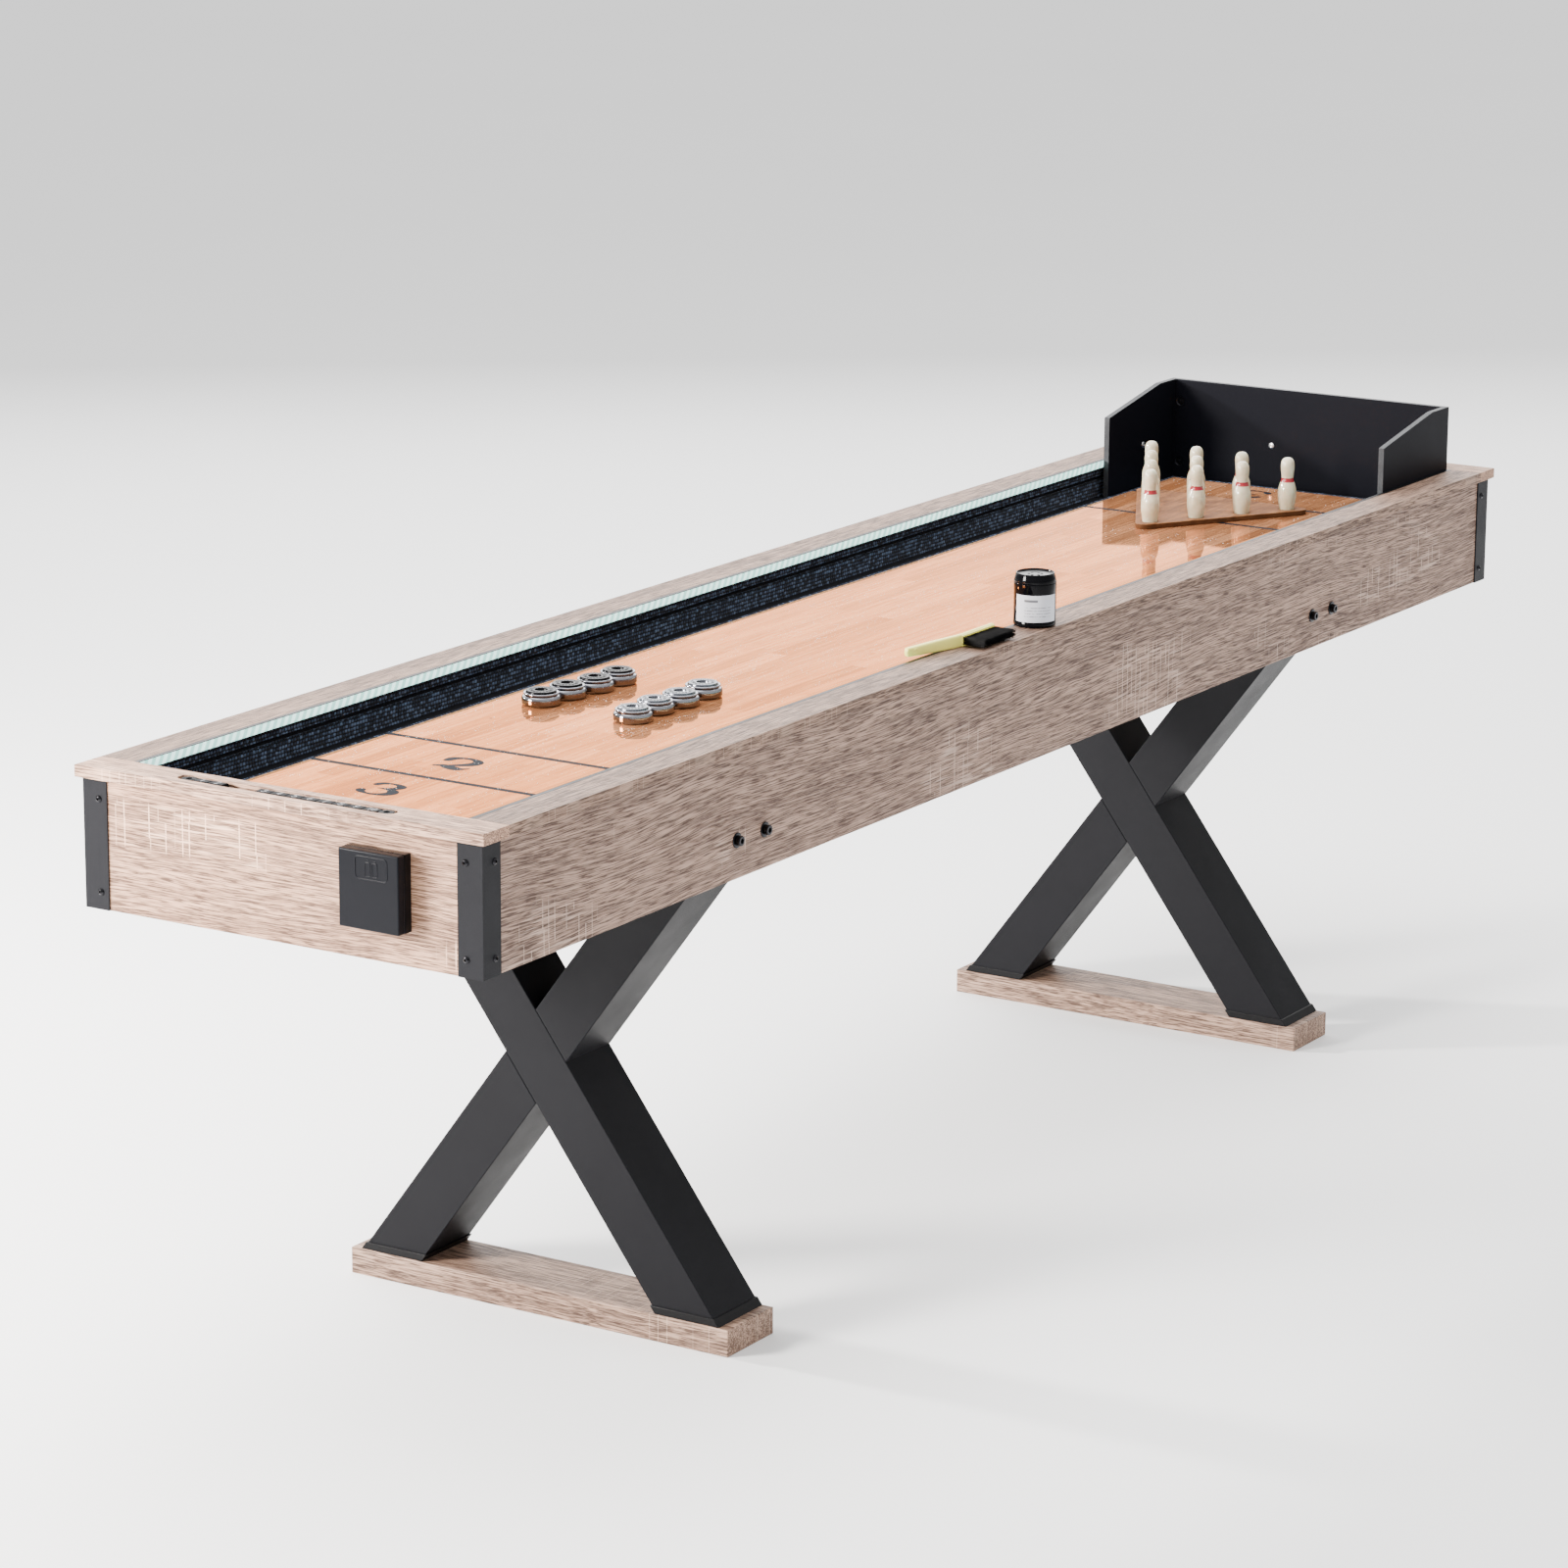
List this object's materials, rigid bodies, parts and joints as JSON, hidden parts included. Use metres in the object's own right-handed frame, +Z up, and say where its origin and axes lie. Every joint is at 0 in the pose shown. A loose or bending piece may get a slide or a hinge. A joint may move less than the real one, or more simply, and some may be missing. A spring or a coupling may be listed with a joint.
{
  "type": "shuffleboard table",
  "caption": "Long wooden playfield sunk in a box cabinet on X legs, with carpeted gutters, light strips, a bead scorer, sliding pucks, and a pin rack with a backstop for bowling.",
  "frame": {"origin": "on the floor under the middle of the table", "axes": "+X along the table from the scorer end to the backstop end, +Y to the left long side, +Z up"},
  "size_m": [2.759, 0.604, 0.9],
  "materials": {
    "oak_laminate": "matt greige oak laminate",
    "playfield_wood": "light butcher-block wood under a gloss clear coat",
    "base_board": "matt black fibreboard",
    "gutter_carpet": "ribbed navy loop carpet",
    "bracket_paint": "charcoal powder coat",
    "black_screws": "satin black",
    "light_channel": "satin black",
    "light_diffuser": "mint-white translucent",
    "battery_plastic": "satin black",
    "battery_jackets": "plain jackets",
    "scorer_steel": "drawn bright",
    "scorer_plastic": "gloss black",
    "leg_laminate": "textured charcoal laminate",
    "foot_plastic": "matt black",
    "backstop_laminate": "satin black laminate with pale edges",
    "zinc_fittings": "white zinc",
    "rack_wood": "stained mid-brown",
    "pin_enamel": "ivory gloss enamel with a crimson ring",
    "puck_steel_black_cap": "chromed steel with a black cap",
    "puck_steel_silver_cap": "chromed steel with a silver cap",
    "brush_plastic": "pale yellow moulded plastic",
    "brush_hair": "black bristle",
    "can_plastic": "gloss black"
  },
  "bodies": {
    "table": {"apron_left": "oak_laminate", "apron_right": "oak_laminate", "apron_near": "oak_laminate", "apron_far": "oak_laminate", "rail_left": "oak_laminate", "rail_right": "oak_laminate", "rail_near": "oak_laminate", "rail_far": "oak_laminate", "playfield": "playfield_wood", "base_panel": "base_board", "gutter_liners": "base_board", "gutter_carpet": "gutter_carpet", "corner_brackets": "bracket_paint", "bracket_screws": "black_screws", "led_channels": "light_channel", "led_diffusers": "light_diffuser", "battery_case": "battery_plastic", "battery_cells": "battery_jackets", "score_rod": "scorer_steel", "score_rod_bosses": "scorer_plastic", "near_leg_long_beam": "leg_laminate", "near_leg_half_beams": "leg_laminate", "near_leg_top_rail": "leg_laminate", "near_leg_floor_board": "oak_laminate", "far_leg_long_beam": "leg_laminate", "far_leg_half_beams": "leg_laminate", "far_leg_top_rail": "leg_laminate", "far_leg_floor_board": "oak_laminate", "leg_foot_caps": "foot_plastic", "leg_bolts": "black_screws"},
    "puck_black_1": {"puck_black_1": "puck_steel_black_cap"},
    "puck_black_2": {"puck_black_2": "puck_steel_black_cap"},
    "puck_black_3": {"puck_black_3": "puck_steel_black_cap"},
    "puck_black_4": {"puck_black_4": "puck_steel_black_cap"},
    "puck_silver_1": {"puck_silver_1": "puck_steel_silver_cap"},
    "puck_silver_2": {"puck_silver_2": "puck_steel_silver_cap"},
    "puck_silver_3": {"puck_silver_3": "puck_steel_silver_cap"},
    "puck_silver_4": {"puck_silver_4": "puck_steel_silver_cap"},
    "pin_1": {"pin_1": "pin_enamel"},
    "pin_2": {"pin_2": "pin_enamel"},
    "pin_3": {"pin_3": "pin_enamel"},
    "pin_4": {"pin_4": "pin_enamel"},
    "pin_5": {"pin_5": "pin_enamel"},
    "pin_6": {"pin_6": "pin_enamel"},
    "pin_7": {"pin_7": "pin_enamel"},
    "pin_8": {"pin_8": "pin_enamel"},
    "pin_9": {"pin_9": "pin_enamel"},
    "pin_10": {"pin_10": "pin_enamel"},
    "score_beads_left": {"score_beads_left": "scorer_plastic"},
    "score_beads_right": {"score_beads_right": "scorer_plastic"},
    "battery_cover": {"battery_cover": "battery_plastic"},
    "backstop": {"backstop_left_panel": "backstop_laminate", "backstop_right_panel": "backstop_laminate", "backstop_back_panel": "backstop_laminate", "backstop_fittings": "zinc_fittings"},
    "pin_rack": {"pin_rack": "rack_wood"},
    "brush": {"brush_handle": "brush_plastic", "brush_bristles": "brush_hair"},
    "wax_can": {"wax_can": "can_plastic"},
    "wax_can_lid": {"wax_can_lid": "can_plastic"}
  },
  "joints": [
    {"name": "puck_black_1_back_slide", "type": "slide", "parent": "table", "child": "puck_black_1", "axis": [1, 0, 0], "range_m": [-0.48, 0]},
    {"name": "puck_black_2_cross_slide", "type": "slide", "parent": "table", "child": "puck_black_2", "axis": [0, 1, 0], "range_m": [-0.08, 0.045]},
    {"name": "puck_black_3_cross_slide", "type": "slide", "parent": "table", "child": "puck_black_3", "axis": [0, 1, 0], "range_m": [-0.08, 0.05]},
    {"name": "puck_black_4_shot_slide", "type": "slide", "parent": "table", "child": "puck_black_4", "axis": [1, 0, 0], "range_m": [0, 1.2]},
    {"name": "puck_silver_1_back_slide", "type": "slide", "parent": "table", "child": "puck_silver_1", "axis": [1, 0, 0], "range_m": [-0.48, 0]},
    {"name": "puck_silver_2_cross_slide", "type": "slide", "parent": "table", "child": "puck_silver_2", "axis": [0, 1, 0], "range_m": [-0.09, 0.04]},
    {"name": "puck_silver_3_cross_slide", "type": "slide", "parent": "table", "child": "puck_silver_3", "axis": [0, 1, 0], "range_m": [-0.085, 0.04]},
    {"name": "puck_silver_4_shot_slide", "type": "slide", "parent": "table", "child": "puck_silver_4", "axis": [1, 0, 0], "range_m": [0, 1.2]},
    {"name": "score_left_slide", "type": "slide", "parent": "table", "child": "score_beads_left", "axis": [0, 1, 0], "range_m": [-0.047, 0]},
    {"name": "score_right_slide", "type": "slide", "parent": "table", "child": "score_beads_right", "axis": [0, 1, 0], "range_m": [0, 0.047]},
    {"name": "battery_cover_pull", "type": "slide", "parent": "table", "child": "battery_cover", "axis": [-1, 0, 0], "range_m": [0, 0.04]},
    {"name": "backstop_lift", "type": "slide", "parent": "table", "child": "backstop", "axis": [0, 0, 1], "range_m": [0, 0.2]},
    {"name": "rack_lift", "type": "slide", "parent": "table", "child": "pin_rack", "axis": [0, 0, 1], "range_m": [0, 0.12]},
    {"name": "pin_1_lift", "type": "slide", "parent": "pin_rack", "child": "pin_1", "axis": [0, 0, 1], "range_m": [0, 0.1]},
    {"name": "pin_2_lift", "type": "slide", "parent": "pin_rack", "child": "pin_2", "axis": [0, 0, 1], "range_m": [0, 0.1]},
    {"name": "pin_3_lift", "type": "slide", "parent": "pin_rack", "child": "pin_3", "axis": [0, 0, 1], "range_m": [0, 0.1]},
    {"name": "pin_4_lift", "type": "slide", "parent": "pin_rack", "child": "pin_4", "axis": [0, 0, 1], "range_m": [0, 0.1]},
    {"name": "pin_5_lift", "type": "slide", "parent": "pin_rack", "child": "pin_5", "axis": [0, 0, 1], "range_m": [0, 0.1]},
    {"name": "pin_6_lift", "type": "slide", "parent": "pin_rack", "child": "pin_6", "axis": [0, 0, 1], "range_m": [0, 0.1]},
    {"name": "pin_7_lift", "type": "slide", "parent": "pin_rack", "child": "pin_7", "axis": [0, 0, 1], "range_m": [0, 0.1]},
    {"name": "pin_8_lift", "type": "slide", "parent": "pin_rack", "child": "pin_8", "axis": [0, 0, 1], "range_m": [0, 0.1]},
    {"name": "pin_9_lift", "type": "slide", "parent": "pin_rack", "child": "pin_9", "axis": [0, 0, 1], "range_m": [0, 0.1]},
    {"name": "pin_10_lift", "type": "slide", "parent": "pin_rack", "child": "pin_10", "axis": [0, 0, 1], "range_m": [0, 0.1]},
    {"name": "brush_lift", "type": "slide", "parent": "table", "child": "brush", "axis": [0, 0, 1], "range_m": [0, 0.15]},
    {"name": "wax_can_lift", "type": "slide", "parent": "table", "child": "wax_can", "axis": [0, 0, 1], "range_m": [0, 0.15]},
    {"name": "wax_can_lid_lift", "type": "slide", "parent": "wax_can", "child": "wax_can_lid", "axis": [0, 0, 1], "range_m": [0, 0.04]}
  ]
}
